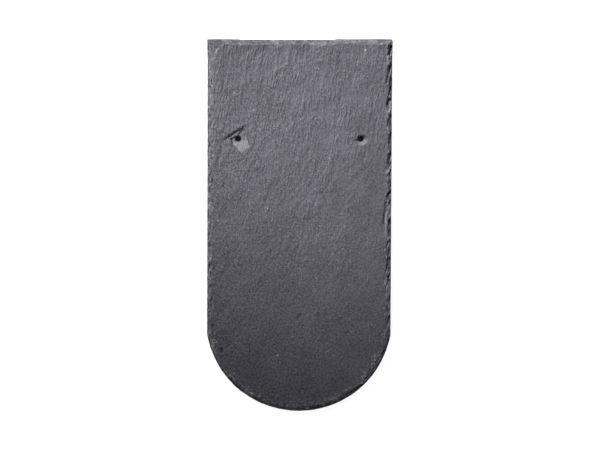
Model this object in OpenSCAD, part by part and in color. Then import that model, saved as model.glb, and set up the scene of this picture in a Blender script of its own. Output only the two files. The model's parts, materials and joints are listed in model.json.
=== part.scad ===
// Round-tailed roofing slate: one riven sheet of stone, dressed along the edges of its face,
// with two nail holes that were punched from the back and so spalled the face.
// Millimetres. The back lies on z = 0 and the face looks up. The head is towards +Y, the round tail
// towards -Y, and the origin is the middle of the back.

/* [Sheet] */
// Length from the head to the tip of the tail
slate_l = 400; // [280:1:600]
// Width across the head
slate_w = 199.5; // [160:0.5:350]
// How much narrower the slate is across its shoulders, where the tail begins to round
side_taper = 1.5; // [0:0.1:20]
// Height of the round tail, from the shoulders to its tip
tail_h = 82; // [40:1:110]
// Thickness of the sheet
slate_t = 6; // [5:0.5:12]

/* [Dressed edge] */
// Height of the clean sheared wall above the back
wall_h = 3.2; // [0.5:0.1:4]
// Mean length of a flake scar along the head
scar_l = 14; // [8:0.5:30]
// Mean length of a flake scar along the two sides
side_scar_l = 20; // [8:0.5:40]
// Mean length of a flake scar along the tail
tail_scar_l = 26; // [8:0.5:40]
// Width of the bevel at a ridge between two flake scars
ridge_w = 2.4; // [1.5:0.1:4]
// Mean width of the bevel in the middle of a flake scar
scar_w = 6; // [4:0.1:8]
// How far a scar's width may lie from that mean
scar_w_spread = 1.5; // [0:0.1:2]
// How far a scar's hollow drops below a straight bevel
scar_hollow = 0.6; // [0:0.1:1.5]
// How far the scars lean along the edge
scar_lean = 4; // [0:0.5:6]
// Seed of the scars' lengths and widths
scar_seed = 17; // [1:1:99]

/* [Nail holes] */
// Diameter of the punched holes
hole_d = 6; // [3:0.1:8]
// Distance of the hole centres in from the two ends of the head
hole_inset = 33.75; // [25:0.25:60]
// Distance of the hole centres below the head
hole_drop = 107; // [40:1:180]
// Depth of the spall in the face at each hole
spall_depth = 2.6; // [1:0.1:3.5]
// Width of the flat ledge between the hole and its spall
spall_ledge = 0.4; // [0.2:0.1:1]
// Angle of the spall's wall close round each hole, from the hole's axis
rim_angle = 25; // [0:1:45]

/* [Spall at the right hole] */
// Direction in which the spall reaches out from the hole
spall_dir = -45; // [-90:1:0]
// Radius of the spall's foot, which lies in the hole and ends on the ledge on that side
spall_foot = 1.2; // [0.4:0.1:1.4]
// Angle of the spall's wall, from the hole's axis
spall_angle = 61; // [20:1:65]

/* [Flakes at the left hole] */
// Direction of the straight steps behind the two flakes
flake_angle = 32.5; // [0:0.5:60]
// Length of the outer flake's step
flake_l = 32; // [20:1:40]
// Distance of the outer step behind the hole's centre
flake_back = 7.4; // [6:0.1:12]
// Depth of the outer step
flake_depth = 1.2; // [0.5:0.1:1.5]
// Length of the inner flake's step
shard_l = 10; // [6:0.5:14]
// How far the middle of the inner step lies along it from the hole
shard_shift = -2; // [-3:0.5:3]
// Distance of the inner step behind the hole's centre
shard_back = 4.3; // [4:0.1:5]
// Depth of the inner flake's floor at its step
shard_depth = 2.4; // [1.6:0.1:2.5]
// Distance that both flakes run out in front of the hole's centre
flake_run = 16; // [10:0.5:20]
// Width of the flakes across the hole
flake_w = 16; // [10:0.5:18]

/* [Hidden] */
$fn = 64;
slate_colour = "#68676d";

// How far a cutting tool stands clear of the surface that it cuts
clear = 2;

// The outline: its tail is the arc through both shoulders and the tip
half_l = slate_l / 2;
half_head = slate_w / 2;
half_shoulder = half_head - side_taper / 2;
shoulder_y = tail_h - half_l;
tail_r = (pow(half_shoulder, 2) + pow(tail_h, 2)) / (2 * tail_h);
tail_y = tail_r - half_l;
hole_x = half_head - hole_inset;
hole_y = half_l - hole_drop;
hole_r = hole_d / 2;
ledge_r = hole_r + spall_ledge;

// Share of the bevel's width and height at which its hollow is deepest
hollow_at = 0.45;
// Places along one scar, as shares of its length, that carry a section; the first is the ridge before it
scar_stations = [0, 0.12, 0.35, 0.65, 0.88];

function mix(a, b, u) = a + (b - a) * u;
function total(list, upto) = upto <= 0 ? 0 : list[upto - 1] + total(list, upto - 1);
// Height of a scar's arched rim, 0 at its two ridges and 1 at its middle
function arch(share) = sqrt(1 - pow(2 * share - 1, 2));

// Point of an edge that lies inset from the outline, at share u of the edge's length.
// The edges run anticlockwise: 0 head, 1 left side, 2 tail, 3 right side.
function shoulder_angle(inset) = atan2(
    shoulder_y - tail_y,
    half_shoulder - inset);
function tail_point(inset, u) =
    let (a = mix(-180 - shoulder_angle(inset), shoulder_angle(inset), u))
    [(tail_r - inset) * cos(a), tail_y + (tail_r - inset) * sin(a)];
function head_point(inset, u) = [mix(half_head - inset, inset - half_head, u), half_l - inset];
function edge_point(edge, inset, u) =
    edge == 0 ? head_point(inset, u) :
    edge == 1 ? mix(head_point(inset, 1), tail_point(inset, 0), u) :
    edge == 2 ? tail_point(inset, u) :
    mix(tail_point(inset, 1), head_point(inset, 0), u);

// Direction from the outline into the sheet
function side_inward(sign) =
    let (run = head_point(0, 0) - tail_point(0, 1))
    [-sign * run[1], run[0]] / norm(run);
function edge_inward(edge, u) =
    edge == 0 ? [0, -1] :
    edge == 1 ? side_inward(-1) :
    edge == 2 ? ([0, tail_y] - tail_point(0, u)) / tail_r :
    side_inward(1);

side_l = norm(head_point(0, 0) - tail_point(0, 1));
tail_l = tail_r * (180 + 2 * shoulder_angle(0)) * PI / 180;
edge_lengths = [slate_w, side_l, tail_l, side_l];
edge_scar_l = [scar_l, side_scar_l, tail_scar_l, side_scar_l];
// The scars lean with one grain, so forwards along the head and the tail and backwards along the sides
edge_lean = [1, -1, 1, -1] * scar_lean;

// One section of the dressed edge, as four points from the back up to the face
function section(edge, u, width, share, lean) =
    let (
        outer = edge_point(edge, 0, u),
        inner = edge_point(edge, ridge_w, u + lean) + (width - ridge_w) * edge_inward(edge, u + lean),
        hollow = mix(outer, inner, hollow_at),
        hollow_z = mix(wall_h, slate_t, hollow_at) - scar_hollow * arch(share))
    [
        [outer[0], outer[1], 0],
        [outer[0], outer[1], wall_h],
        [hollow[0], hollow[1], max(hollow_z, wall_h)],
        [inner[0], inner[1], slate_t]
    ];

// All sections of one edge, scar by scar
function edge_sections(edge) =
    let (
        count = max(2, round(edge_lengths[edge] / edge_scar_l[edge])),
        lengths = rands(0.6, 1.4, count, scar_seed + edge),
        widths = rands(scar_w - scar_w_spread, scar_w + scar_w_spread, count, scar_seed + 10 + edge),
        whole = total(lengths, count))
    [
        for (scar = [0 : count - 1], share = scar_stations)
        let (
            u = (total(lengths, scar) + share * lengths[scar]) / whole,
            width = mix(ridge_w, max(widths[scar], ridge_w), arch(share)),
            lean = edge_lean[edge] / edge_lengths[edge] * sin(180 * u))
        section(edge, u, width, share, lean)
    ];

// The sheet as a loft of those sections, closed by a fan of triangles on its face and on its back
module dressed_sheet() {
    sections = [for (edge = [0 : 3]) each edge_sections(edge)];
    count = len(sections);
    rows = len(sections[0]);
    middle_y = (half_l + shoulder_y) / 2;
    points = concat(
        [for (s = sections) each s],
        [[0, middle_y, 0], [0, middle_y, slate_t]]);
    back_middle = count * rows;
    face_middle = back_middle + 1;
    faces = [
        for (i = [0 : count - 1])
        let (a = i * rows, b = (i + 1) % count * rows)
        each concat(
            [[back_middle, a, b]],
            [for (k = [0 : rows - 2]) each [[a + k, b + k + 1, b + k], [a + k, a + k + 1, b + k + 1]]],
            [[face_middle, b + rows - 1, a + rows - 1]])
    ];
    polyhedron(points, faces);
}

// Cone that widens from the ledge up through the face
module spall(foot_r, angle) {
    translate([0, 0, slate_t - spall_depth])
        cylinder(
            h = spall_depth + clear,
            r1 = foot_r,
            r2 = foot_r + (spall_depth + clear) * tan(angle));
}

// Round hole through the sheet, with the rim that the punch broke out of the face
module nail_hole() {
    translate([0, 0, -clear]) cylinder(h = slate_t + 2 * clear, r = hole_r);
    spall(ledge_r, rim_angle);
}

// The wider spall at the right hole, which lies off to one side
module hole_spall() {
    shift = hole_r + spall_ledge / 2 - spall_foot;
    rotate(spall_dir) translate([shift, 0, 0]) spall(spall_foot, spall_angle);
}

// Thin flake that split off the face: a step behind the hole, and a floor that runs out in front of it
module flake(outline, back, depth) {
    tilt = atan(depth / (back + flake_run));
    translate([0, -flake_run, 0]) rotate([-tilt, 0, 0]) translate([0, flake_run, 0])
        linear_extrude(height = depth + clear) polygon(outline);
}

// The two flakes at the left hole, the inner one a layer deeper and meeting the outer step on the right
module hole_flakes() {
    run_out = [
        [-flake_w / 3, -flake_run],
        [flake_w / 4, -flake_run],
        [flake_w / 2, -flake_run / 3]
    ];
    outer = concat(
        [[-flake_l / 2, flake_back], [-flake_w / 2, 0]],
        run_out,
        [[flake_l / 2, flake_back]]);
    inner = concat(
        [[shard_shift - shard_l / 2, shard_back], [-flake_w / 2, -flake_run / 6]],
        run_out,
        [[flake_l / 3, 0], [flake_l / 3, flake_back], [shard_shift + shard_l / 2, shard_back]]);
    rotate(flake_angle) {
        flake(outer, flake_back, flake_depth);
        flake(inner, shard_back, shard_depth);
    }
}

module slate() {
    color(slate_colour) difference() {
        dressed_sheet();
        translate([hole_x, hole_y, 0]) nail_hole();
        translate([hole_x, hole_y, 0]) hole_spall();
        translate([-hole_x, hole_y, 0]) nail_hole();
        translate([-hole_x, hole_y, slate_t]) hole_flakes();
    }
}

slate();
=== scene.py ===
import json
import math

import bmesh
import bpy
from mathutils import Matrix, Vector, noise


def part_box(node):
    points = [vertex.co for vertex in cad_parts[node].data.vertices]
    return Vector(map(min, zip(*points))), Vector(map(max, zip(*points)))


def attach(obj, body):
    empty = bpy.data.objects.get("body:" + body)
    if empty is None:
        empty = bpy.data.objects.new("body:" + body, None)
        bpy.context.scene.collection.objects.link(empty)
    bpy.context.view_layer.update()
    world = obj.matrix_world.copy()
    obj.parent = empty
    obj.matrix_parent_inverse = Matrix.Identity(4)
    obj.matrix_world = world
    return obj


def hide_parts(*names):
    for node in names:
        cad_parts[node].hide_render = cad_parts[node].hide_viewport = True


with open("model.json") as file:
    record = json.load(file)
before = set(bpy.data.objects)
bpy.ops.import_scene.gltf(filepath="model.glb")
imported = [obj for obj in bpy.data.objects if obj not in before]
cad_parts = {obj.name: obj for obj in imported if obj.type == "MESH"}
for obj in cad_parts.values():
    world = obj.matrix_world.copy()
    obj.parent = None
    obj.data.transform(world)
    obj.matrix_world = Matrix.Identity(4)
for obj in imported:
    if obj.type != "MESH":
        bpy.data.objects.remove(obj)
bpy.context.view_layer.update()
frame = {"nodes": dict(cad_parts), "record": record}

mm = 0.001
record = frame["record"]
cadSlate = frame["nodes"]["slate"]
lowCorner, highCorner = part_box("slate")
slateWidth = highCorner.x - lowCorner.x
slateLength = highCorner.y - lowCorner.y
faceZ = highCorner.z
nailHoles = [mount for mount in record["mounts"] if mount["kind"] == "bore"]
holeRadius = nailHoles[0]["dims"]["r_mm"] * mm


# sRGB hex to linear light
def linear(hexColour):
    channels = [int(hexColour[i:i + 2], 16) / 255 for i in (1, 3, 5)]
    return [c / 12.92 if c <= 0.04045 else ((c + 0.055) / 1.055) ** 2.4 for c in channels] + [1.0]


# one node with its settings; a socket given as an input becomes a link
def addNode(tree, kind, inputs=None, **settings):
    made = tree.nodes.new(kind)
    for name, value in settings.items():
        setattr(made, name, value)
    for name, value in (inputs or {}).items():
        if isinstance(value, bpy.types.NodeSocket):
            tree.links.new(value, made.inputs[name])
        else:
            made.inputs[name].default_value = value
    return made


def newMaterial(name):
    material = bpy.data.materials.new(name)
    material.use_nodes = True
    material.node_tree.nodes.clear()
    return material, material.node_tree


def smoothStep(low, high, value):
    share = min(1.0, max(0.0, (value - low) / (high - low)))
    return share * share * (3 - 2 * share)


def deselectAll():
    bpy.ops.object.select_all(action="DESELECT")


def applyModifiers(piece):
    deselectAll()
    piece.select_set(True)
    bpy.context.view_layer.objects.active = piece
    for modifier in list(piece.modifiers):
        bpy.ops.object.modifier_apply(modifier=modifier.name)


# The slate itself: a fine grid laid over the CAD sheet, then broken along its edges and riven all over

slateSet = {
    "tailHeight": 82 * mm,      # shoulders to the tip of the round tail
    "sideTaper": 1.5 * mm,      # how much narrower the shoulders are than the head
    "wallHeight": 3.2 * mm,     # clean sheared wall above the back
    "wallCuts": 3,              # rows of vertices in that wall
    "columns": 39,              # mesh of the back
    "rows": 79,
    "faceFiner": 4,             # the face has this many times as many columns and rows
    "startHeight": 2 * mm,      # the face's grid drops onto the sheet from this high above it
    "rimBand": 8.5 * mm,        # rows are halved along the dressed edge, in to here
    "holeBand": 16 * mm,        # rows round a nail hole are halved out to here, and again close in
    "holeMargin": 0.3 * mm,     # the face is level over a hole and this far round it
    "punchSides": 40,           # the punch that cuts the holes
    "punchLength": 4,           # in thicknesses of the slate
    "brokenDepth": (0.05 * mm, 0.5 * mm),  # stone begins to count as broken, then does, below the face
    "rougher": (1.2, 0.85),     # the left of the face is rougher than the right
    "sharpAngle": 50,           # degrees; sharper edges than this aren't smoothed
}
halfHead = slateWidth / 2
halfShoulder = halfHead - slateSet["sideTaper"] / 2
headY = slateLength / 2
shoulderY = slateSet["tailHeight"] - headY
tailRadius = (halfShoulder ** 2 + slateSet["tailHeight"] ** 2) / (2 * slateSet["tailHeight"])


# half the slate's width at a height on it, above the shoulders
def halfWidth(y):
    return halfHead + (halfShoulder - halfHead) * (headY - y) / (headY - shoulderY)


# a place on a square of side 2 becomes a place on the slate: straight above the shoulders, rounded below
def onOutline(across, up):
    y = up * headY
    if y >= shoulderY:
        return across * halfWidth(y), y
    down = (shoulderY - y) / slateSet["tailHeight"]
    discX = across * math.sqrt(1 - down * down / 2)
    discY = down * math.sqrt(1 - across * across / 2)
    drop = min(1.0, discY / math.sqrt(max(1e-9, 1 - discX * discX)))
    x = discX * halfShoulder
    return x, shoulderY - drop * (math.sqrt(tailRadius ** 2 - x ** 2) - tailRadius + slateSet["tailHeight"])


# how far a place lies in from the outline
def edgeInset(point):
    if point.y < shoulderY:
        return tailRadius - math.hypot(point.x, point.y + headY - tailRadius)
    return min(headY - point.y, halfWidth(point.y) - abs(point.x))


# how far along the outline a place lies, anticlockwise from the middle of the tail, less than nothing
# on the left
def edgeRun(point):
    arcMiddle = tailRadius - headY
    if point.y < shoulderY:
        return tailRadius * math.atan2(point.x, arcMiddle - point.y)
    side = math.copysign(1, point.x)
    shoulderRun = tailRadius * math.atan2(halfShoulder, arcMiddle - shoulderY)
    if headY - point.y < halfWidth(point.y) - abs(point.x):
        return side * (shoulderRun + headY - shoulderY + halfHead) - point.x
    return side * (shoulderRun + point.y - shoulderY)


# how rough the face is from its left to its right
def roughShare(x):
    left, right = slateSet["rougher"]
    return left + (right - left) * (x + halfHead) / slateWidth


# how far a place on the face counts as broken
def brokenShare(point):
    return smoothStep(*slateSet["brokenDepth"], faceZ - point.z)


# noise that is stretched along a direction, which leans from the second coordinate to the first
def leaningNoise(first, second, lean, acrossSize, alongSize, seed):
    turn = math.radians(lean)
    across = first * math.cos(turn) - second * math.sin(turn)
    along = first * math.sin(turn) + second * math.cos(turn)
    return noise.noise(Vector((across / acrossSize, along / alongSize, seed)))


# a grid on a square of side 2, halved in each band in turn, then laid out as the slate
def slateGrid(z, columns, rows, bands):
    deselectAll()
    bpy.ops.mesh.primitive_grid_add(x_subdivisions=columns, y_subdivisions=rows, size=2)
    grid = bpy.context.object
    bpy.ops.object.mode_set(mode="EDIT")
    bpy.ops.mesh.select_mode(type="FACE")
    for inBand in bands:
        bpy.ops.mesh.select_all(action="DESELECT")
        mesh = bmesh.from_edit_mesh(grid.data)
        for face in mesh.faces:
            middle = face.calc_center_median()
            face.select = inBand(Vector(onOutline(middle.x, middle.y)))
        bmesh.update_edit_mesh(grid.data)
        bpy.ops.mesh.subdivide(number_cuts=1)
    bpy.ops.object.mode_set(mode="OBJECT")
    for vertex in grid.data.vertices:
        vertex.co = (*onOutline(vertex.co.x, vertex.co.y), z)
    return grid


def holePlace(hole):
    return Vector(hole["pos_m"][:2])


def onLeft(hole):
    return hole["pos_m"][0] < 0


def nearHole(place):
    return min((place - holePlace(hole)).length for hole in nailHoles)


def openEdgeVertices(mesh):
    uses = {}
    for polygon in mesh.polygons:
        for key in polygon.edge_keys:
            uses[key] = uses.get(key, 0) + 1
    return {vertex for key, count in uses.items() if count == 1 for vertex in key}


def makeFace():
    finer = slateSet["faceFiner"]
    startZ = faceZ + slateSet["startHeight"]
    face = slateGrid(startZ, finer * slateSet["columns"], finer * slateSet["rows"], [
        lambda place: edgeInset(place) < slateSet["rimBand"],
        lambda place: nearHole(place) < slateSet["holeBand"],
        lambda place: nearHole(place) < slateSet["holeBand"] / 2,
    ])
    face.vertex_groups.new(name="face").add(range(len(face.data.vertices)), 1.0, "REPLACE")

    # the outline stays on top of the sheared wall, everything inside it drops onto the CAD sheet
    outline = openEdgeVertices(face.data)
    inside = [v.index for v in face.data.vertices if v.index not in outline]
    face.vertex_groups.new(name="inside").add(inside, 1.0, "REPLACE")
    for index in outline:
        face.data.vertices[index].co.z = slateSet["wallHeight"]
    drop = face.modifiers.new("drop", "SHRINKWRAP")
    drop.target = cadSlate
    drop.wrap_method = "PROJECT"
    drop.use_project_z = True
    drop.use_negative_direction = True
    drop.use_positive_direction = False
    drop.vertex_group = "inside"
    applyModifiers(face)
    ledge = nailHoles[0]["dims"]["length_mm"] * mm
    overHole = holeRadius + slateSet["holeMargin"]
    for vertex in face.data.vertices:
        if nearHole(vertex.co.xy) < overHole:
            vertex.co.z = ledge
    print("face dropped onto the sheet:", len(face.data.vertices), "vertices")
    return face


# joins the back to the face and closes the wall between them; the back is halved three times
# towards its rim, which then has as many vertices as the face's
def closeSheet(face):
    back = slateGrid(0, slateSet["columns"], slateSet["rows"], [
        lambda place: edgeInset(place) < slateSet["rimBand"],
        lambda place: edgeInset(place) < slateSet["rimBand"] / 3,
        lambda place: edgeInset(place) < slateSet["rimBand"] / 9,
    ])
    back.vertex_groups.new(name="back").add(range(len(back.data.vertices)), 1.0, "REPLACE")
    bpy.ops.object.mode_set(mode="EDIT")
    bpy.ops.mesh.select_all(action="SELECT")
    bpy.ops.mesh.flip_normals()
    bpy.ops.object.mode_set(mode="OBJECT")
    deselectAll()
    back.select_set(True)
    face.select_set(True)
    bpy.context.view_layer.objects.active = face
    bpy.ops.object.join()
    bpy.ops.object.mode_set(mode="EDIT")
    bpy.ops.mesh.select_mode(type="EDGE")
    bpy.ops.mesh.select_all(action="DESELECT")
    bpy.ops.mesh.select_non_manifold(extend=False)
    bpy.ops.mesh.bridge_edge_loops(number_cuts=slateSet["wallCuts"], interpolation="LINEAR")
    bpy.ops.mesh.select_all(action="SELECT")
    bpy.ops.mesh.normals_make_consistent(inside=False)
    bpy.ops.object.mode_set(mode="OBJECT")


edgeSet = {
    "band": 11 * mm,            # chips fade out from half this distance from the outline to the whole of it
    "chipLean": -10,            # degrees that the chips lean outwards as they run along the edge
    "chips": (2.6 * mm, 17 * mm, 2.7),      # size across and along the run, and seed
    "chipDepth": 1.3 * mm,
    "splinters": (1.3 * mm, 7 * mm, 8.1),
    "splinterDepth": 1.0 * mm,
    "riser": (0.3, 0.7),        # share of a leaf's thickness from which, and up to which, its edge is steep
    "slope": 0.4,               # share of the plain bevel that stays in the treads
    "lowest": 1.2 * mm,         # no break goes down past this height above the back
    "faceFrom": 3.6 * mm,       # the sound face begins between these distances from the outline
    "faceFull": 7.2 * mm,
    "faceHolds": 0.6 * mm,      # how much deeper a chip has to be to break into it
    "steepWidth": 2.2 * mm,     # the outline itself drops away within this
    "headBevel": 6.8 * mm,      # the head's bevel is straight and about this wide
    "headWave": (0.5, 9 * mm, 6.2),         # share by which that varies, over what length, and seed
    "cornerReach": {"left": 1.5 * mm, "right": 6.5 * mm},  # and runs out to the sides this high
    "shoulder": 12 * mm,        # the tail's traits go over into the sides' this close to the shoulders
}
# what the four edges are like; the head's bevel is made by itself
edgeTraits = {
    # thickness of the leaves that the edge breaks into, and how strongly it is chipped
    "leaf": {"head": 0.55 * mm, "left": 0.5 * mm, "right": 0.8 * mm, "tail": 0.5 * mm},
    "chips": {"head": 1.0, "left": 1.2, "right": 1.5, "tail": 0.7},
    # how far the bevel draws back to the outline, and the extra drop along the outline
    "narrow": {"left": 0.3, "right": 0.1, "tail": 0.75},
    "steep": {"left": 0.5 * mm, "right": 0.0, "tail": 1.2 * mm},
    # share of the outline that is dark with painted shade in nicks, and how far in they reach
    "nick": {"head": 0.2, "left": 0.55, "right": 0.3, "tail": 1.05},
    "nickWidth": {"head": 1.8 * mm, "left": 2 * mm, "right": 2 * mm, "tail": 1.9 * mm},
    # pale flecks, and dark flecks of painted shade
    "pale": {"head": 0.25, "left": 0.15, "right": 0.45, "tail": 0.25},
    "shadeFlecks": {"head": 0.3, "left": 0.85, "right": 0.4, "tail": 0.4},
    # white specks, and how far in they reach
    "bruise": {"head": 0.2, "left": 0.58, "right": 0.5, "tail": 0.85},
    "fringe": {"head": 2 * mm, "left": 7 * mm, "right": 5 * mm, "tail": 12 * mm},
}
# share of the bevel's depth and where it holds, as runs along the edge from the middle of the tail:
# it is shallow along the right of the tail and deep towards the head's right corner
shallowBevel = {"share": 0.5, "from": 5 * mm, "full": 45 * mm, "fade": 120 * mm, "to": 290 * mm}
deepBevel = {"share": 1.4, "from": 290 * mm, "full": 370 * mm}


def atHead(point):
    corner = edgeSet["cornerReach"]["left" if point.x < 0 else "right"]
    return headY - point.y < max(corner, halfWidth(point.y) - abs(point.x))


# a trait of the edge beside a place; at the shoulders the tail's goes over into the side's
def edgeTrait(point, name):
    trait = edgeTraits[name]
    kind = "head" if atHead(point) else "left" if point.x < 0 else "right"
    side = smoothStep(-edgeSet["shoulder"], edgeSet["shoulder"], point.y - shoulderY)
    return trait["tail"] * (1 - side) + trait[kind] * side


# noise that runs along the edge; its sizes across and along the run and its seed come as one value
def chipNoise(point, sizes):
    return leaningNoise(edgeInset(point), edgeRun(point), edgeSet["chipLean"], *sizes)


def bevelShare(point):
    run = edgeRun(point)
    shallow = smoothStep(shallowBevel["from"], shallowBevel["full"], run)
    shallow *= 1 - smoothStep(shallowBevel["fade"], shallowBevel["to"], run)
    deep = smoothStep(deepBevel["from"], deepBevel["full"], run)
    return 1 + (shallowBevel["share"] - 1) * shallow + (deepBevel["share"] - 1) * deep


# depth of the bevel before it is chipped
def plainBevel(point, depth):
    fullDepth = faceZ - slateSet["wallHeight"]
    if not atHead(point):
        narrow = edgeTrait(point, "narrow")
        drop = edgeTrait(point, "steep") * max(0.0, 1 - edgeInset(point) / edgeSet["steepWidth"]) ** 2
        return max(0.0, (1 + narrow) * depth - narrow * fullDepth) * bevelShare(point) + drop
    share, length, seed = edgeSet["headWave"]
    width = edgeSet["headBevel"] * (1 + share * noise.noise(Vector((edgeRun(point) / length, 0, seed))))
    headInset = headY - point.y
    straight = max(0.0, fullDepth * (1 - headInset / width))
    return straight if headInset > edgeInset(point) else max(depth, straight)


# the dressed edge breaks leaf by leaf, so its slope becomes flat treads and steep risers
def breakEdge(piece):
    for vertex in piece.data.vertices:
        inset = edgeInset(vertex.co)
        reach = 1 - smoothStep(edgeSet["band"] / 2, edgeSet["band"], inset)
        if reach == 0:
            continue
        chips = edgeSet["chipDepth"] * chipNoise(vertex.co, edgeSet["chips"])
        chips += edgeSet["splinterDepth"] * chipNoise(vertex.co, edgeSet["splinters"])
        chips *= edgeTrait(vertex.co, "chips")
        chips -= edgeSet["faceHolds"] * smoothStep(edgeSet["faceFrom"], edgeSet["faceFull"], inset)
        plain = plainBevel(vertex.co, faceZ - vertex.co.z)
        leaf = edgeTrait(vertex.co, "leaf")
        level = (plain + reach * chips) / leaf
        tread = math.floor(level)
        broken = (tread + smoothStep(*edgeSet["riser"], level - tread)) * leaf
        broken += edgeSet["slope"] * (plain - broken)
        vertex.co.z = faceZ - min(faceZ - edgeSet["lowest"], max(0.0, broken))


spallSet = {
    "front": Vector((0.25, -0.97)),  # the stone broke fresh on this side of the holes
    "paleFrom": 0,                  # and is pale from here that way, fully from there
    "paleTo": 5 * mm,
    "paleReach": 18 * mm,           # the holes' own tones end within this
    "leftPale": 0.66,
    "rightPale": 0.4,
    "rimShade": 0.85,                  # painted shade in the rim of a hole
    "rimShadeReach": 1.15 * mm,
    "thinnest": (0.02 * mm, 0.24 * mm),  # the flakes run out to a thin pale lip
    "flakeLimit": 19.8 * mm,        # the flakes at the left hole end within this
    "flakeAngle": 32.5,             # the straight step behind the hole, as in the CAD sheet
    "flakeBack": 7.4 * mm,
    "flakeHalf": 16 * mm,
    "flakeRun": 16 * mm,
    "flakeDepth": 1.2 * mm,
    "flakeEnd": 0.2,                # share of that depth at the step's two ends
    "flakeBow": 1.6 * mm,           # the step's middle lies further back than its ends
    "flakeSlope": 0.68,             # the step leans this much
    "groove": 1.3 * mm,             # the flake's floor is deeper along its step
    "grooveWidth": 2.2 * mm,
    "shardTilt": 0.085,             # a floor that falls faster than this is the inner flake's
    "shardFull": 1.6,               # how soon that flake is at its full depth, in from its ends
    "shardBack": 4.3 * mm,          # its own step, which turns back to the outer one
    "shardTurn": 3 * mm,
    "shardSwing": 0.4,
    "shardSlope": 0.8,
    "lobeLimit": 10.8 * mm,         # the spall at the right hole ends within this
    "lobeAngle": -58,               # and reaches out this way
    "lobeFacing": (-0.75, 0.6),     # cosines off that way at which it is shallow and deep
    "lobeReach": (4.2 * mm, 8.0 * mm),  # its radius and its depth, shallow and deep
    "lobeDepth": (0.8 * mm, 2.6 * mm),
    "lobeHollow": 1.3,              # power that makes its wall hollow
}


# the leaning steps behind the left hole run out towards their two ends
def shapeFlake(vertex, away):
    turn = math.radians(spallSet["flakeAngle"])
    along = away.x * math.cos(turn) + away.y * math.sin(turn)
    behind = away.y * math.cos(turn) - away.x * math.sin(turn)
    depth = faceZ - vertex.co.z
    taper = max(0.0, 1 - (along / spallSet["flakeHalf"]) ** 2)
    beyond = behind - spallSet["flakeBack"]
    step = spallSet["flakeSlope"] * (spallSet["flakeBow"] * taper - beyond)
    if step <= 0 or (beyond < 0 and depth < spallSet["thinnest"][0]):
        return
    run = spallSet["flakeRun"]
    end = spallSet["flakeEnd"]
    floor = spallSet["flakeDepth"] * (behind + run) / (spallSet["flakeBack"] + run)
    floor *= end + (1 - end) * taper
    floor += spallSet["groove"] * taper * math.exp(min(0.0, beyond) / spallSet["grooveWidth"])
    if depth / (behind + run) > spallSet["shardTilt"]:
        shardLip = spallSet["shardBack"] + spallSet["shardSwing"] * max(0.0, along - spallSet["shardTurn"])
        shard = floor + spallSet["shardSlope"] * max(0.0, shardLip - behind)
        floor = min(shard, max(floor, depth * min(1.0, spallSet["shardFull"] * taper)))
    vertex.co.z = faceZ - min(step, floor)


# the right hole's spall is shallow above the hole and reaches out below it
def shapeSpall(vertex, away):
    turn = math.radians(spallSet["lobeAngle"])
    facing = (away.x * math.cos(turn) + away.y * math.sin(turn)) / max(away.length, 1e-6)
    lobe = smoothStep(*spallSet["lobeFacing"], facing)
    near, far = spallSet["lobeReach"]
    shallow, deep = spallSet["lobeDepth"]
    share = (away.length - holeRadius) / (near + (far - near) * lobe - holeRadius)
    share = min(1.0, max(0.0, share))
    vertex.co.z = faceZ - (shallow + (deep - shallow) * lobe) * (1 - share) ** spallSet["lobeHollow"]


def shapeHoles(piece):
    for vertex in piece.data.vertices:
        for hole in nailHoles:
            away = vertex.co.xy - holePlace(hole)
            if onLeft(hole) and away.length <= spallSet["flakeLimit"]:
                shapeFlake(vertex, away)
            elif not onLeft(hole) and away.length < spallSet["lobeLimit"]:
                shapeSpall(vertex, away)


toneSet = {
    "band": 22 * mm,                        # the edge's own tones end within this
    "flecks": (1.5 * mm, 3.5 * mm, 5.3),    # size across and along the run, and seed
    "fleckLevels": (0.15, 0.4),             # noise at which a fleck begins and is full
    "fleckPale": 2,                         # in shares of how pale the edge is
    "slivers": (3 * mm, 7 * mm, 6.6),       # slivers of fresh stone in what is broken
    "sliverLevel": 0.4,                     # their mean in such shares, and how much it varies
    "sliverSpread": 3,
    "clusters": (8 * mm, 20 * mm, 3.9),     # white specks are thicker in clusters
    "clusterLevels": (-0.35, 0.35),
    "clusterLeast": 0.4,                    # share of them outside the clusters
    "nicks": (6 * mm, 4 * mm, 9.5),         # nicks in the outline itself, darkened by painted shade
    "nickMean": 0.5,                        # their noise swings about this
    "nickRise": 0.4,                        # and they are full this much after they begin
    "nickDark": 0.9,
    "nickCore": 0.4,                        # share of their reach that is dark all over
    # they reach further in round this place along the tail
    "tailNick": {"middle": -25 * mm, "from": 60 * mm, "to": 95 * mm, "wider": 1.4 * mm},
    "cleanFrom": 45 * mm,                   # the left edge is cleaner and paler towards the head
    "cleanTo": 165 * mm,
    "cleanPale": 0.3,
    "cleanBand": (0.3 * mm, 3 * mm, 3.6 * mm, 14.4 * mm),  # inwards: it begins, is full, fades and ends
    "cleanShadeFlecks": 0.6,                       # share of the painted shade flecks that is missing there
    "cleanNick": 0.3,                       # and of the nicks
    "blotches": (5 * mm, 8 * mm, 4.4),      # dark blotches below the head's bevel
    "blotchLevels": (-0.3, 0.5),
    "blotchBand": (5 * mm, 8 * mm, 10 * mm, 18 * mm),
    "blotchDark": 0.3,
}


# 1 between the two middle values of a band, and nothing outside it
def withinBand(band, value):
    return smoothStep(*band[:2], value) * (1 - smoothStep(*band[2:], value))


# how clean the edge is beside a place
def cleanShare(point):
    if point.x >= 0 or atHead(point):
        return 0.0
    return smoothStep(toneSet["cleanFrom"], toneSet["cleanTo"], point.y)
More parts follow.
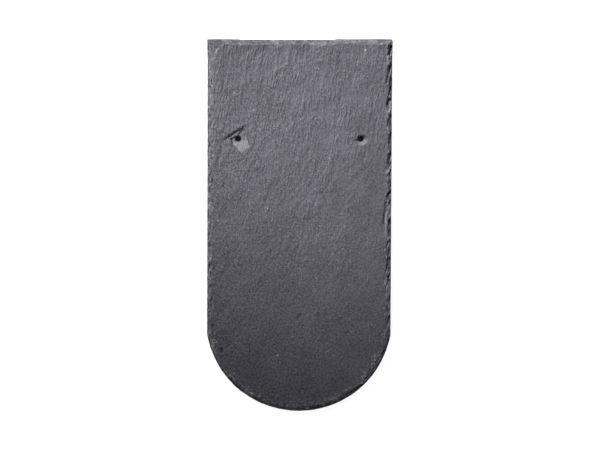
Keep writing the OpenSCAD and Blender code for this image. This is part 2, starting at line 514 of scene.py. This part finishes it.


# how dark the painted shade of the nicks in the outline makes a place
def nickShade(point, inset):
    start = 1 - edgeTrait(point, "nick") * (1 - toneSet["cleanNick"] * cleanShare(point))
    level = toneSet["nickMean"] + chipNoise(point, toneSet["nicks"])
    nicked = smoothStep(start, start + toneSet["nickRise"], level)
    reach = edgeTrait(point, "nickWidth")
    if point.y < shoulderY:
        wide = toneSet["tailNick"]
        away = abs(edgeRun(point) - wide["middle"])
        reach += wide["wider"] * (1 - smoothStep(wide["from"], wide["to"], away))
    return toneSet["nickDark"] * nicked * (1 - smoothStep(toneSet["nickCore"] * reach, reach, inset))


# how pale, dark and bruised the stone is along the dressed edge; its dark flecks and nicks are painted shade
def edgeTones(point, inset):
    rim = edgeSet["faceFrom"]
    inside = 1 - smoothStep(rim, rim + edgeTrait(point, "fringe"), inset)
    broken = brokenShare(point)
    clean = cleanShare(point)
    fleck = chipNoise(point, toneSet["flecks"])
    sliver = toneSet["sliverLevel"] + toneSet["sliverSpread"] * chipNoise(point, toneSet["slivers"])
    edgePale = edgeTrait(point, "pale")
    white = edgePale * broken * max(0.0, sliver)
    white += toneSet["fleckPale"] * edgePale * inside * smoothStep(*toneSet["fleckLevels"], fleck)
    white += toneSet["cleanPale"] * clean * withinBand(toneSet["cleanBand"], inset)
    # painted shade: dark flecks along the edge, and the nicks in the outline
    black = edgeTrait(point, "shadeFlecks") * max(inside, broken) * smoothStep(*toneSet["fleckLevels"], -fleck)
    black *= 1 - toneSet["cleanShadeFlecks"] * clean
    black = max(black, nickShade(point, inset))
    least = toneSet["clusterLeast"]
    cluster = smoothStep(*toneSet["clusterLevels"], chipNoise(point, toneSet["clusters"]))
    bruise = edgeTrait(point, "bruise") * inside * (least + (1 - least) * cluster) * (1 - black)
    if atHead(point):
        blotch = smoothStep(*toneSet["blotchLevels"], chipNoise(point, toneSet["blotches"]))
        black = max(black, toneSet["blotchDark"] * blotch * withinBand(toneSet["blotchBand"], inset))
    return white, black, bruise


# and round a nail hole, where nothing is bruised
def holeTones(point, hole, away):
    front = smoothStep(spallSet["paleFrom"], spallSet["paleTo"], away.dot(spallSet["front"]))
    flaked = smoothStep(*spallSet["thinnest"], faceZ - point.z)
    white = spallSet["leftPale" if onLeft(hole) else "rightPale"] * flaked * front
    # painted shade: a dark ring round the rim of the hole
    black = spallSet["rimShade"] * (1 - smoothStep(holeRadius, holeRadius + spallSet["rimShadeReach"], away.length))
    return white, black, 0.0


# the tones of every vertex
def stoneTones(piece):
    tones = {"fresh": [], "stainAndShade": [], "bruise": []}
    for vertex in piece.data.vertices:
        hole = min(nailHoles, key=lambda h: (vertex.co.xy - holePlace(h)).length)
        away = vertex.co.xy - holePlace(hole)
        inset = edgeInset(vertex.co)
        white, black, bruise = 0.0, 0.0, 0.0
        if away.length < spallSet["paleReach"]:
            white, black, bruise = holeTones(vertex.co, hole, away)
        elif inset < toneSet["band"]:
            white, black, bruise = edgeTones(vertex.co, inset)
        tones["fresh"].append(min(1.0, white))
        tones["stainAndShade"].append(black)
        tones["bruise"].append(bruise)
    return tones


# the slate's own marks: two ends, half its width and how deep it is cut, all in mm,
# then how pale, dark or bruised it is; the dark in a cut mark is painted shade
markReach = 30 * mm     # no mark runs further than this from its first end
markCore = 0.4          # share of a mark's width that is as deep and as dark as its middle
markSet = [
    ((70.3, 187.9), (70.3, 188.1), 1.5, 0.0, 0.5, 0.0, 1.8),       # white grains under the head
    ((87.2, 194.9), (87.2, 195.1), 1.5, 0.0, 0.5, 0.0, 1.8),
    ((-91.6, 185.2), (-87.3, 190.6), 1.3, 0.0, 0.5, 0.0, 1.25),    # scratch at the corner
    ((-12.8, 191.1), (-14.8, 172.2), 1.3, -0.45, 0.35, 0.0, 0.0),  # raised veins
    ((-14.8, 172.2), (-24.2, 166.4), 1.2, -0.4, 0.3, 0.0, 0.0),
    ((-17.4, 168.0), (-21.0, 156.5), 1.2, -0.4, 0.25, 0.0, 0.0),
    ((-39.4, 188.6), (-35.6, 190.8), 3.4, 0.3, 0.0, 0.3, 0.0),     # hollow under the head, with painted shade in it
    ((51.1, -115.5), (51.1, -115.4), 1.3, 1.2, 0.0, 0.9, 0.0),     # pin hole, with painted shade in it
    ((-2.6, -100.0), (0.2, -96.0), 2.4, 0.4, 0.0, 0.6, 0.0),       # hollow with painted shade in it
    ((-84.7, -136.2), (-84.2, -133.4), 2.2, 0.6, 0.0, 0.8, 0.0),   # hollow by the tail, with painted shade in it
    ((-24.1, -140.3), (-24.0, -140.2), 1.4, 0.0, 0.5, 0.0, 2.0),   # white grains
    ((-37.8, -117.6), (-37.8, -117.5), 1.3, 0.0, 0.5, 0.0, 1.4),
    ((57.4, 90.6), (62.0, 91.2), 1.0, 0.5, 0.0, 0.5, 0.0),         # crack beside the right hole, with painted shade in it
    ((-74.4, 92.4), (-72.8, 85.4), 1.1, 0.5, 0.0, 0.5, 0.0),       # and below the left one's flake, also with painted shade
    ((-98.6, 84.6), (-99.5, 84.6), 1.1, 2.2, 0.0, 0.6, 0.0),       # nicks in the left edge, with painted shade in them
    ((-98.6, 63.4), (-99.5, 63.4), 1.1, 2.2, 0.0, 0.6, 0.0),
    ((97.6, 194.0), (95.8, 183.0), 1.9, 0.9, 0.0, 0.5, 0.0),       # gashes in the right edge, with painted shade in them
    ((97.4, 170.0), (93.2, 152.5), 1.5, 0.9, 0.0, 0.45, 0.0),
    ((97.6, 148.5), (94.2, 130.0), 1.5, 0.9, 0.0, 0.45, 0.0),
    ((93.0, 23.5), (90.4, 0.9), 1.7, 1.1, 0.0, 0.3, 0.0),          # long splinter off the right edge, with painted shade along its step
    ((94.6, 24.6), (92.4, 3.0), 1.3, 0.0, 1.0, 0.0, 0.0),
    ((93.2, 1.0), (92.6, -9.0), 1.2, -0.3, 0.7, 0.0, 0.0),
]


def markFace(piece, tones):
    marks = []
    for start, end, half, cut, *shades in markSet:
        first, last = Vector(start) * mm, Vector(end) * mm
        for place in (first, last):
            place.x -= tailOffset(place.y)
        marks.append((first, last - first, half * mm, cut * mm, shades))
    for vertex in piece.data.vertices:
        for first, run, half, cut, shades in marks:
            away = vertex.co.xy - first
            if abs(away.x) > markReach or abs(away.y) > markReach:
                continue
            share = min(1.0, max(0.0, away.dot(run) / run.length_squared))
            weight = 1 - smoothStep(markCore * half, half, (away - share * run).length)
            if weight > 0:
                vertex.co.z -= cut * weight
                # a cut mark's dark is painted shade in it
                for values, shade in zip(tones.values(), shades):
                    values[vertex.index] = max(values[vertex.index], shade * weight)


reliefSet = [
    # name, size across and along the grain, its lean, strength, finer layers, vertex group
    ("swells", 30 * mm, 64 * mm, 20, 0.55 * mm, 2, "riven"),
    ("head leaves", 6 * mm, 30 * mm, 6, 0.62 * mm, 1, "upper"),
    ("head streaks", 2.6 * mm, 14 * mm, 6, 0.78 * mm, 0, "upper"),
    ("tail leaves", 6 * mm, 26 * mm, 24, 0.53 * mm, 1, "lower"),
    ("tail streaks", 2.6 * mm, 10 * mm, 24, 0.58 * mm, 0, "lower"),
    ("hackle", 2 * mm, 4 * mm, 24, 0.5 * mm, 0, "broken"),
    ("back swells", 34 * mm, 60 * mm, 20, 0.5 * mm, 2, "back"),
    ("back leaves", 14 * mm, 30 * mm, 20, 0.3 * mm, 0, "back"),
]


grainSet = {
    "headGrain": (10 * mm, 100 * mm),   # the tail's grain gives way to the head's between these heights
    "boldFrom": shoulderY - 60 * mm,    # and gains its strength between these
    "boldTo": shoulderY + 160 * mm,
    "tailBold": 0.5,                    # share of its strength at the tail
    "evenShare": 0.85,                  # and where the face is neither rough nor smooth
    "brokenLoses": 0.6,                 # share of the grain that broken stone hasn't got
    "guideStep": (0.37, 0.21),          # each relief has its noise this much further off than the one before
    "faceLevel": 0.5,                   # noise at which the face stays where it is
    "backLevel": 0.3,                   # and the back, which mostly rises into the sheet
}


# the grain is bold and nearly upright towards the head, and fades and leans more towards the tail
def rive(piece):
    groups = {name: piece.vertex_groups.new(name=name) for name in ("riven", "upper", "lower", "broken")}
    faceGroup = piece.vertex_groups["face"].index
    tailBold = grainSet["tailBold"]
    for vertex in piece.data.vertices:
        if any(g.group == faceGroup for g in vertex.groups):
            broken = brokenShare(vertex.co)
            whole = 1 - grainSet["brokenLoses"] * broken
            upper = smoothStep(*grainSet["headGrain"], vertex.co.y)
            bold = smoothStep(grainSet["boldFrom"], grainSet["boldTo"], vertex.co.y)
            bold = tailBold + (1 - tailBold) * bold
            rough = min(1.0, grainSet["evenShare"] * roughShare(vertex.co.x))
            weights = {
                "riven": whole,
                "upper": whole * math.sqrt(upper) * rough,
                "lower": whole * math.sqrt(1 - upper) * bold * rough,
                "broken": broken,
            }
            for name, weight in weights.items():
                groups[name].add([vertex.index], weight, "REPLACE")
    stepX, stepY = grainSet["guideStep"]
    for number, (name, across, along, lean, strength, layers, group) in enumerate(reliefSet, 1):
        deselectAll()
        bpy.ops.object.empty_add(location=(stepX * number, stepY * number, 0))
        guide = bpy.context.object
        guide.rotation_euler.z = -math.radians(lean)
        guide.scale = (across, along, across)
        texture = bpy.data.textures.new(name, "CLOUDS")
        texture.noise_scale = 1.0
        texture.noise_depth = layers
        texture.noise_basis = "IMPROVED_PERLIN"
        relief = piece.modifiers.new(name, "DISPLACE")
        relief.texture = texture
        relief.texture_coords = "OBJECT"
        relief.texture_coords_object = guide
        relief.direction = "Z"
        relief.mid_level = grainSet["backLevel" if group == "back" else "faceLevel"]
        relief.strength = strength
        relief.vertex_group = group
        applyModifiers(piece)
        bpy.data.objects.remove(guide)
        bpy.data.textures.remove(texture)


# nail holes are cut last, through the riven sheet
def punchHoles(piece):
    for hole in nailHoles:
        deselectAll()
        bpy.ops.mesh.primitive_cylinder_add(
            vertices=slateSet["punchSides"],
            radius=holeRadius,
            depth=slateSet["punchLength"] * faceZ,
            location=(*holePlace(hole), faceZ / 2),
        )
        punch = bpy.context.object
        cut = piece.modifiers.new("punch", "BOOLEAN")
        cut.operation = "DIFFERENCE"
        cut.solver = "EXACT"
        cut.object = punch
        applyModifiers(piece)
        bpy.data.objects.remove(punch)


outlineSet = {
    "tailShift": -1.3 * mm,     # the tail was dressed a little to the left of the head
    "headHollow": 0.7 * mm,     # a long thin flake off the middle of the head
    "hollowFrom": -66 * mm,
    "hollowTo": 39 * mm,
    "hollowEnds": 2 * mm,       # the hollow runs out within this at its two ends
    "hollowFade": 12 * mm,      # and draws in the stone within this below the head
    "sideWaist": 0.35 * mm,     # the sides are drawn in this much
    "waistDrop": (2 * mm, 25 * mm),     # where that begins and is full, down from the head
    "waistOut": (80 * mm, 96 * mm),     # and out from the middle
    "cornerRadius": {"left": 0.9 * mm, "right": 2.2 * mm},
    "seed": 5,
    "wander": 0.12 * mm,        # unevenness of the sheared outline
    "wanderSize": 7 * mm,
    "wallRough": 0.25 * mm,     # and of the leaves in the wall below it
    "wallSize": 2.5 * mm,
    "wallLeaves": 3,            # leaves are this many times as long as thick
    "wallInset": 0.3 * mm,      # the wall is what lies this close to the outline
    "wallClear": 0.5 * mm,      # and this far below its own top
}


# how far the tail's dressing has moved a place sideways
def tailOffset(y):
    return outlineSet["tailShift"] * min(1.0, (headY - y) / (headY - shoulderY))


# the corners of the head are worn round
def wearCorner(co, side):
    radius = outlineSet["cornerRadius"]["left" if side < 0 else "right"]
    intoHead = radius - (headY - co.y)
    intoSide = radius - (halfWidth(co.y) - abs(co.x))
    if min(intoHead, intoSide) > 0:
        worn = max(intoHead, intoSide) / math.hypot(intoHead, intoSide) - 1
        co.y += worn * intoHead
        co.x += worn * intoSide * side


# the hand-dressed outline: the tail sits a little to the left, the head has lost a long thin flake,
# the sides are drawn in and the corners are worn
def unevenOutline(piece):
    noise.seed_set(outlineSet["seed"])  # noise_vector would differ from run to run without it
    for vertex in piece.data.vertices:
        co = vertex.co
        side = math.copysign(1, co.x)
        wearCorner(co, side)
        hollow = smoothStep(-outlineSet["hollowFade"], 0, co.y - headY)
        hollow *= smoothStep(0, outlineSet["hollowEnds"], co.x - outlineSet["hollowFrom"])
        hollow *= smoothStep(0, outlineSet["hollowEnds"], outlineSet["hollowTo"] - co.x)
        waist = smoothStep(*outlineSet["waistDrop"], headY - co.y)
        waist *= smoothStep(*outlineSet["waistOut"], abs(co.x))
        offset = noise.noise_vector(co / outlineSet["wanderSize"]) * outlineSet["wander"]
        wallTop = slateSet["wallHeight"] - outlineSet["wallClear"]
        if edgeInset(co) < outlineSet["wallInset"] and co.z < wallTop:
            leaves = Vector((co.x, co.y, outlineSet["wallLeaves"] * co.z)) / outlineSet["wallSize"]
            offset += noise.noise_vector(leaves) * outlineSet["wallRough"]
        co.x += tailOffset(co.y) + offset.x - outlineSet["sideWaist"] * waist * side
        co.y += offset.y - outlineSet["headHollow"] * hollow


slate = makeFace()
breakEdge(slate)
shapeHoles(slate)
stoneTone = stoneTones(slate)
markFace(slate, stoneTone)
for toneName, values in stoneTone.items():
    slate.data.attributes.new(toneName, "FLOAT", "POINT").data.foreach_set("value", values)
print("edge broken, holes spalled, marks made")
closeSheet(slate)
slate.name = slate.data.name = "riven_slate"
rive(slate)
print("riven")
punchHoles(slate)
unevenOutline(slate)
deselectAll()
slate.select_set(True)
bpy.context.view_layer.objects.active = slate
bpy.ops.object.shade_smooth_by_angle(angle=math.radians(slateSet["sharpAngle"]))
slate.data.calc_loop_triangles()
print("slate finished:", len(slate.data.loop_triangles), "triangles")


# Roofing slate, split by hand along its cleavage: matt and dark blue-grey, with a fine silky grain,
# and paler where a blow has flaked it
stoneSet = {
    "darkColour": "#47464d",
    "lightColour": "#84838b",
    "freshColour": "#9c9ba0",
    "speckColour": "#d2d1d5",
    # dark stain, and painted shade
    "stainAndShadeColour": "#2c2b30",
    "roughness": 0.62,
    "ior": 1.5,
    "grainAcross": 2.0 * mm,    # finer in the real stone, here as fine as the picture can show
    "grainAlong": 5.4 * mm,
    "grainThick": 0.6 * mm,     # leaves of the stone, seen on its edges
    "grainHeight": 0.7 * mm,
    "grainBold": (0.3, 1.35),   # share of that height at the tail and at the head
    "streakAcross": 2.0 * mm,   # long wavy streaks towards the head
    "streakAlong": 11 * mm,
    "streakLean": 11,           # degrees to the right of the slate's length
    "streakHeight": 0.85,       # as a share of the grain's
    "streakWave": 0.8,
    "streakFrom": 0,
    "streakTo": 150 * mm,
    "patch": 16 * mm,           # the grain is smoother and rougher in patches of this size
    "patchLevels": (0.35, 0.65),  # noise in a smooth patch and in a rough one
    "patchGrain": (0.45, 1.3),  # and the share of the grain's height there
    "mottle": 28 * mm,          # clouds of darker and lighter stone
    "mottleLevels": (0.13, 0.87),
    "pepper": 1.9 * mm,         # darker and paler grains, too fine to show at their own size
    "pepperLevels": (0.36, 0.64),
    "pepperShare": (0.62, 0.45),  # their share in the tone at the tail and at the head
    "speck": 1.8 * mm,          # white specks, too fine to show at their own size
    "speckLevels": (0.7, 0.82),
    "speckLift": 0.22,          # how much a bruise adds to their noise
    "speckWhite": 0.78,
}


def rivenStone():
    material, tree = newMaterial("riven slate")
    place = addNode(tree, "ShaderNodeTexCoord").outputs["Object"]
    alongSlate = addNode(tree, "ShaderNodeSeparateXYZ", {"Vector": place})
    rougher = addNode(tree, "ShaderNodeMapRange", {
        "Value": alongSlate.outputs["X"],
        "From Min": -halfHead,
        "From Max": halfHead,
        "To Min": slateSet["rougher"][0],
        "To Max": slateSet["rougher"][1],
    })

    # fine grain, bolder towards the head
    alongGrain = addNode(tree, "ShaderNodeMapping", {
        "Vector": place,
        "Scale": (stoneSet["grainAcross"], stoneSet["grainAlong"], stoneSet["grainThick"]),
    }, vector_type="TEXTURE")
    grain = addNode(tree, "ShaderNodeTexNoise", {
        "Vector": alongGrain.outputs["Vector"], "Scale": 1.0, "Detail": 1.0, "Roughness": 0.5,
    })
    bolder = addNode(tree, "ShaderNodeMapRange", {
        "Value": alongSlate.outputs["Y"],
        "From Min": -headY,
        "From Max": headY,
        "To Min": stoneSet["grainBold"][0],
        "To Max": stoneSet["grainBold"][1],
    })
    height = addNode(tree, "ShaderNodeMath", {
        0: grain.outputs["Fac"], 1: bolder.outputs["Result"],
    }, operation="MULTIPLY")

    # streaks, towards the head alone
    alongStreak = addNode(tree, "ShaderNodeMapping", {
        "Vector": place,
        "Rotation": (0, 0, -math.radians(stoneSet["streakLean"])),
        "Scale": (stoneSet["streakAcross"], stoneSet["streakAlong"], stoneSet["grainThick"]),
    }, vector_type="TEXTURE")
    streaks = addNode(tree, "ShaderNodeTexNoise", {
        "Vector": alongStreak.outputs["Vector"],
        "Scale": 1.0,
        "Detail": 0.0,
        "Distortion": stoneSet["streakWave"],
    })
    streaked = addNode(tree, "ShaderNodeMapRange", {
        "Value": alongSlate.outputs["Y"],
        "From Min": stoneSet["streakFrom"],
        "From Max": stoneSet["streakTo"],
        "To Min": 0.0,
        "To Max": stoneSet["streakHeight"],
    })
    height = addNode(tree, "ShaderNodeMath", {
        0: streaks.outputs["Fac"], 1: streaked.outputs["Result"], 2: height.outputs["Value"],
    }, operation="MULTIPLY_ADD")

    # both are uneven, in patches, and rougher on the left
    patches = addNode(tree, "ShaderNodeTexNoise", {
        "Vector": place, "Scale": 1 / stoneSet["patch"], "Detail": 2.0,
    })
    patchy = addNode(tree, "ShaderNodeMapRange", {
        "Value": patches.outputs["Fac"],
        "From Min": stoneSet["patchLevels"][0],
        "From Max": stoneSet["patchLevels"][1],
        "To Min": stoneSet["patchGrain"][0],
        "To Max": stoneSet["patchGrain"][1],
    })
    for share in (patchy, rougher):
        height = addNode(tree, "ShaderNodeMath", {
            0: height.outputs["Value"], 1: share.outputs["Result"],
        }, operation="MULTIPLY")
    bump = addNode(tree, "ShaderNodeBump", {
        "Height": height.outputs["Value"], "Distance": stoneSet["grainHeight"], "Strength": 1.0,
    })

    # dark and light stone, in clouds and in fine grains
    mottle = addNode(tree, "ShaderNodeTexNoise", {
        "Vector": place, "Scale": 1 / stoneSet["mottle"], "Detail": 4.0, "Roughness": 0.55,
    })
    clouds = addNode(tree, "ShaderNodeMapRange", {
        "Value": mottle.outputs["Fac"],
        "From Min": stoneSet["mottleLevels"][0],
        "From Max": stoneSet["mottleLevels"][1],
    })
    pepper = addNode(tree, "ShaderNodeTexNoise", {
        "Vector": place, "Scale": 1 / stoneSet["pepper"], "Detail": 1.0,
    })
    grains = addNode(tree, "ShaderNodeMapRange", {
        "Value": pepper.outputs["Fac"],
        "From Min": stoneSet["pepperLevels"][0],
        "From Max": stoneSet["pepperLevels"][1],
    })
    peppered = addNode(tree, "ShaderNodeMapRange", {
        "Value": alongSlate.outputs["Y"],
        "From Min": -headY,
        "From Max": headY,
        "To Min": stoneSet["pepperShare"][0],
        "To Max": stoneSet["pepperShare"][1],
    })
    peppered = addNode(tree, "ShaderNodeMath", {
        0: peppered.outputs["Result"], 1: rougher.outputs["Result"],
    }, operation="MULTIPLY")
    shade = addNode(tree, "ShaderNodeMix", {
        "Factor": peppered.outputs["Value"], "A": clouds.outputs["Result"], "B": grains.outputs["Result"],
    })
    tone = addNode(tree, "ShaderNodeMixRGB", {
        "Fac": shade.outputs["Result"],
        "Color1": linear(stoneSet["darkColour"]),
        "Color2": linear(stoneSet["lightColour"]),
    })

    # fresh stone where it has flaked, white specks where it is bruised, and over all dark stain and painted
    # shade
    fresh = addNode(tree, "ShaderNodeAttribute", attribute_name="fresh")
    broken = addNode(tree, "ShaderNodeMixRGB", {
        "Fac": fresh.outputs["Fac"],
        "Color1": tone.outputs["Color"],
        "Color2": linear(stoneSet["freshColour"]),
    })
    bruise = addNode(tree, "ShaderNodeAttribute", attribute_name="bruise")
    specks = addNode(tree, "ShaderNodeTexNoise", {
        "Vector": place, "Scale": 1 / stoneSet["speck"], "Detail": 1.0,
    })
    speckLevel = addNode(tree, "ShaderNodeMath", {
        0: bruise.outputs["Fac"], 1: stoneSet["speckLift"], 2: specks.outputs["Fac"],
    }, operation="MULTIPLY_ADD")
    speckShare = addNode(tree, "ShaderNodeMapRange", {
        "Value": speckLevel.outputs["Value"],
        "From Min": stoneSet["speckLevels"][0],
        "From Max": stoneSet["speckLevels"][1],
        "To Min": 0.0,
        "To Max": stoneSet["speckWhite"],
    })
    specked = addNode(tree, "ShaderNodeMixRGB", {
        "Fac": speckShare.outputs["Result"],
        "Color1": broken.outputs["Color"],
        "Color2": linear(stoneSet["speckColour"]),
    })
    # dark stain, and painted shade in hole rims, nicks, flecks and cut marks
    stainAndShade = addNode(tree, "ShaderNodeAttribute", attribute_name="stainAndShade")
    stainedAndShaded = addNode(tree, "ShaderNodeMixRGB", {
        "Fac": stainAndShade.outputs["Fac"],
        "Color1": specked.outputs["Color"],
        "Color2": linear(stoneSet["stainAndShadeColour"]),
    })
    shader = addNode(tree, "ShaderNodeBsdfPrincipled", {
        "Base Color": stainedAndShaded.outputs["Color"],
        "Roughness": stoneSet["roughness"],
        "IOR": stoneSet["ior"],
        "Normal": bump.outputs["Normal"],
    })
    addNode(tree, "ShaderNodeOutputMaterial", {"Surface": shader.outputs["BSDF"]})
    return material


slate.data.materials.clear()
slate.data.materials.append(rivenStone())
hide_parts("slate")
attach(slate, "root")


# The studio: a sweep of white paper that keeps the slate's shadow, and one gridded softbox

studioSet = {
    "floorSize": 6.0,           # metres, as all that has no unit here
    "backdropHeight": 1.0,      # the floor's paper is turned up all round, so that low views end on it
    "floorDrop": 0.1 * mm,      # the floor lies this far below the slate's back
    "floorColour": "#4a4a4a",   # what the floor throws back onto the slate
    "paperColour": "#bcbcbc",   # and what the camera sees of its light and shade, on top of its glow
    "holeShadeColour": "#0c0c0c",    # painted shade: the floor under the nail holes is near black
    "shadowGlow": 0.95,         # the paper's glow where the shadow falls
    "holeGlow": 0.008,          # and under the nail holes, where the floor is painted dark
    "shadowReach": 9 * mm,      # the shadow lies within this of the outline
    "shadowFade": 25 * mm,      # and the paper is all white from here
    "underInset": 12 * mm,      # the floor under the nail holes is painted dark from this far in
    "worldFill": 0.03,
    "fillColour": (0.97, 0.9, 1.22, 1),    # cool daylight in the shade
    "keyAim": (0.036, 0.094, 0),    # the softbox points here, so that its light falls off towards the tail
    "keyFrom": (0, 0.05, 0),    # and stands this far off, and so many degrees up and round, from here
    "keyDistance": 0.9,
    "keyElevation": 38.5,
    "keyAzimuth": 123,
    "keySize": (0.42, 0.17),
    "keySpread": 31,            # degrees that its grid lets through
    "keyPower": 0.565,          # watts
}


# how far outside an oblong a place on the floor lies, less than nothing inside it
def outsideOblong(tree, place, middleY, halfX, halfY):
    reaches = []
    for axis, middle, half in (("X", 0.0, halfX), ("Y", middleY, halfY)):
        away = addNode(tree, "ShaderNodeMath", {0: place.outputs[axis], 1: middle}, operation="SUBTRACT")
        size = addNode(tree, "ShaderNodeMath", {0: away.outputs[0]}, operation="ABSOLUTE")
        past = addNode(tree, "ShaderNodeMath", {0: size.outputs[0], 1: half}, operation="SUBTRACT")
        reaches.append(past.outputs[0])
    return addNode(tree, "ShaderNodeMath", {0: reaches[0], 1: reaches[1]}, operation="MAXIMUM").outputs[0]


def makeFloor():
    material, tree = newMaterial("white studio paper")
    place = addNode(tree, "ShaderNodeSeparateXYZ", {
        "Vector": addNode(tree, "ShaderNodeTexCoord").outputs["Object"],
    })
    around = addNode(tree, "ShaderNodeMapRange", {
        "Value": outsideOblong(tree, place, 0.0, halfHead, headY),
        "From Min": studioSet["shadowReach"],
        "From Max": studioSet["shadowFade"],
        "To Min": studioSet["shadowGlow"],
        "To Max": 1.0,
    })
    under = addNode(tree, "ShaderNodeMapRange", {
        "Value": outsideOblong(tree, place, nailHoles[0]["pos_m"][1], halfHead, headY / 2),
        "From Min": -studioSet["underInset"],
        "From Max": -studioSet["underInset"] / 2,
        "To Min": studioSet["holeGlow"],
        "To Max": 1.0,
    })
    glow = addNode(tree, "ShaderNodeMath", {
        0: around.outputs["Result"], 1: under.outputs["Result"],
    }, operation="MULTIPLY")
    white = addNode(tree, "ShaderNodeEmission", {"Color": (1, 1, 1, 1), "Strength": glow.outputs["Value"]})
    # painted shade: the floor is near black under the nail holes
    lightest = addNode(tree, "ShaderNodeMixRGB", {
        "Fac": under.outputs["Result"],
        "Color1": linear(studioSet["holeShadeColour"]),
        "Color2": linear(studioSet["paperColour"]),
    })
    lit = addNode(tree, "ShaderNodeBsdfDiffuse", {"Color": lightest.outputs["Color"]})
    seenPaper = addNode(tree, "ShaderNodeAddShader", {0: white.outputs["Emission"], 1: lit.outputs["BSDF"]})
    paper = addNode(tree, "ShaderNodeBsdfDiffuse", {"Color": linear(studioSet["floorColour"])})
    rays = addNode(tree, "ShaderNodeLightPath").outputs
    seen = rays["Is Camera Ray"]
    for kind in ("Is Glossy Ray", "Is Transmission Ray"):
        seen = addNode(tree, "ShaderNodeMath", {0: seen, 1: rays[kind]}, operation="MAXIMUM").outputs["Value"]
    shown = addNode(tree, "ShaderNodeMixShader", {
        "Fac": seen, 1: paper.outputs["BSDF"], 2: seenPaper.outputs["Shader"],
    })
    addNode(tree, "ShaderNodeOutputMaterial", {"Surface": shown.outputs["Shader"]})
    deselectAll()
    bpy.ops.mesh.primitive_plane_add(size=studioSet["floorSize"], location=(0, 0, -studioSet["floorDrop"]))
    floor = bpy.context.object
    floor.name = "studio_floor"
    bpy.ops.object.mode_set(mode="EDIT")
    bpy.ops.mesh.select_mode(type="EDGE")
    bpy.ops.mesh.select_all(action="DESELECT")
    bpy.ops.mesh.select_non_manifold(extend=False)
    bpy.ops.mesh.extrude_edges_move(TRANSFORM_OT_translate={"value": (0, 0, studioSet["backdropHeight"])})
    bpy.ops.object.mode_set(mode="OBJECT")
    floor.data.materials.append(material)


def makeStudio():
    makeFloor()
    world = bpy.data.worlds.new("studio")
    bpy.context.scene.world = world
    world.use_nodes = True
    tree = world.node_tree
    tree.nodes.clear()
    fill = addNode(tree, "ShaderNodeBackground", {
        "Color": studioSet["fillColour"], "Strength": studioSet["worldFill"],
    })
    addNode(tree, "ShaderNodeOutputWorld", {"Surface": fill.outputs["Background"]})

    rise, turn = math.radians(studioSet["keyElevation"]), math.radians(studioSet["keyAzimuth"])
    way = Vector((math.cos(rise) * math.cos(turn), math.cos(rise) * math.sin(turn), math.sin(rise)))
    lampPlace = Vector(studioSet["keyFrom"]) + studioSet["keyDistance"] * way
    deselectAll()
    bpy.ops.object.light_add(type="AREA", location=lampPlace)
    key = bpy.context.object
    key.name = "gridded_softbox"
    key.rotation_euler = (Vector(studioSet["keyAim"]) - lampPlace).to_track_quat("-Z", "Y").to_euler()
    key.data.shape = "RECTANGLE"
    key.data.size, key.data.size_y = studioSet["keySize"]
    key.data.spread = math.radians(studioSet["keySpread"])
    key.data.energy = studioSet["keyPower"]


cameraSet = {
    "imageWidth": 600,
    "imageHeight": 450,
    "lens": 100,                # mm, as the sensor
    "sensor": 36,
    "mmPerPixel": 1.0776,
    "originPixel": (299.97, 225.05),  # where the slate's middle lies in the photograph
}


def makeCamera():
    viewWidth = cameraSet["imageWidth"] * cameraSet["mmPerPixel"] * mm
    distance = viewWidth * cameraSet["lens"] / cameraSet["sensor"]
    right = (cameraSet["imageWidth"] / 2 - cameraSet["originPixel"][0]) * cameraSet["mmPerPixel"] * mm
    up = (cameraSet["originPixel"][1] - cameraSet["imageHeight"] / 2) * cameraSet["mmPerPixel"] * mm
    deselectAll()
    bpy.ops.object.camera_add(location=(right, up, distance), rotation=(0, 0, 0))
    camera = bpy.context.object
    camera.data.lens = cameraSet["lens"]
    camera.data.sensor_width = cameraSet["sensor"]
    bpy.context.scene.camera = camera


makeStudio()
makeCamera()
bpy.context.scene.view_settings.view_transform = "Standard"
print("studio and camera set")
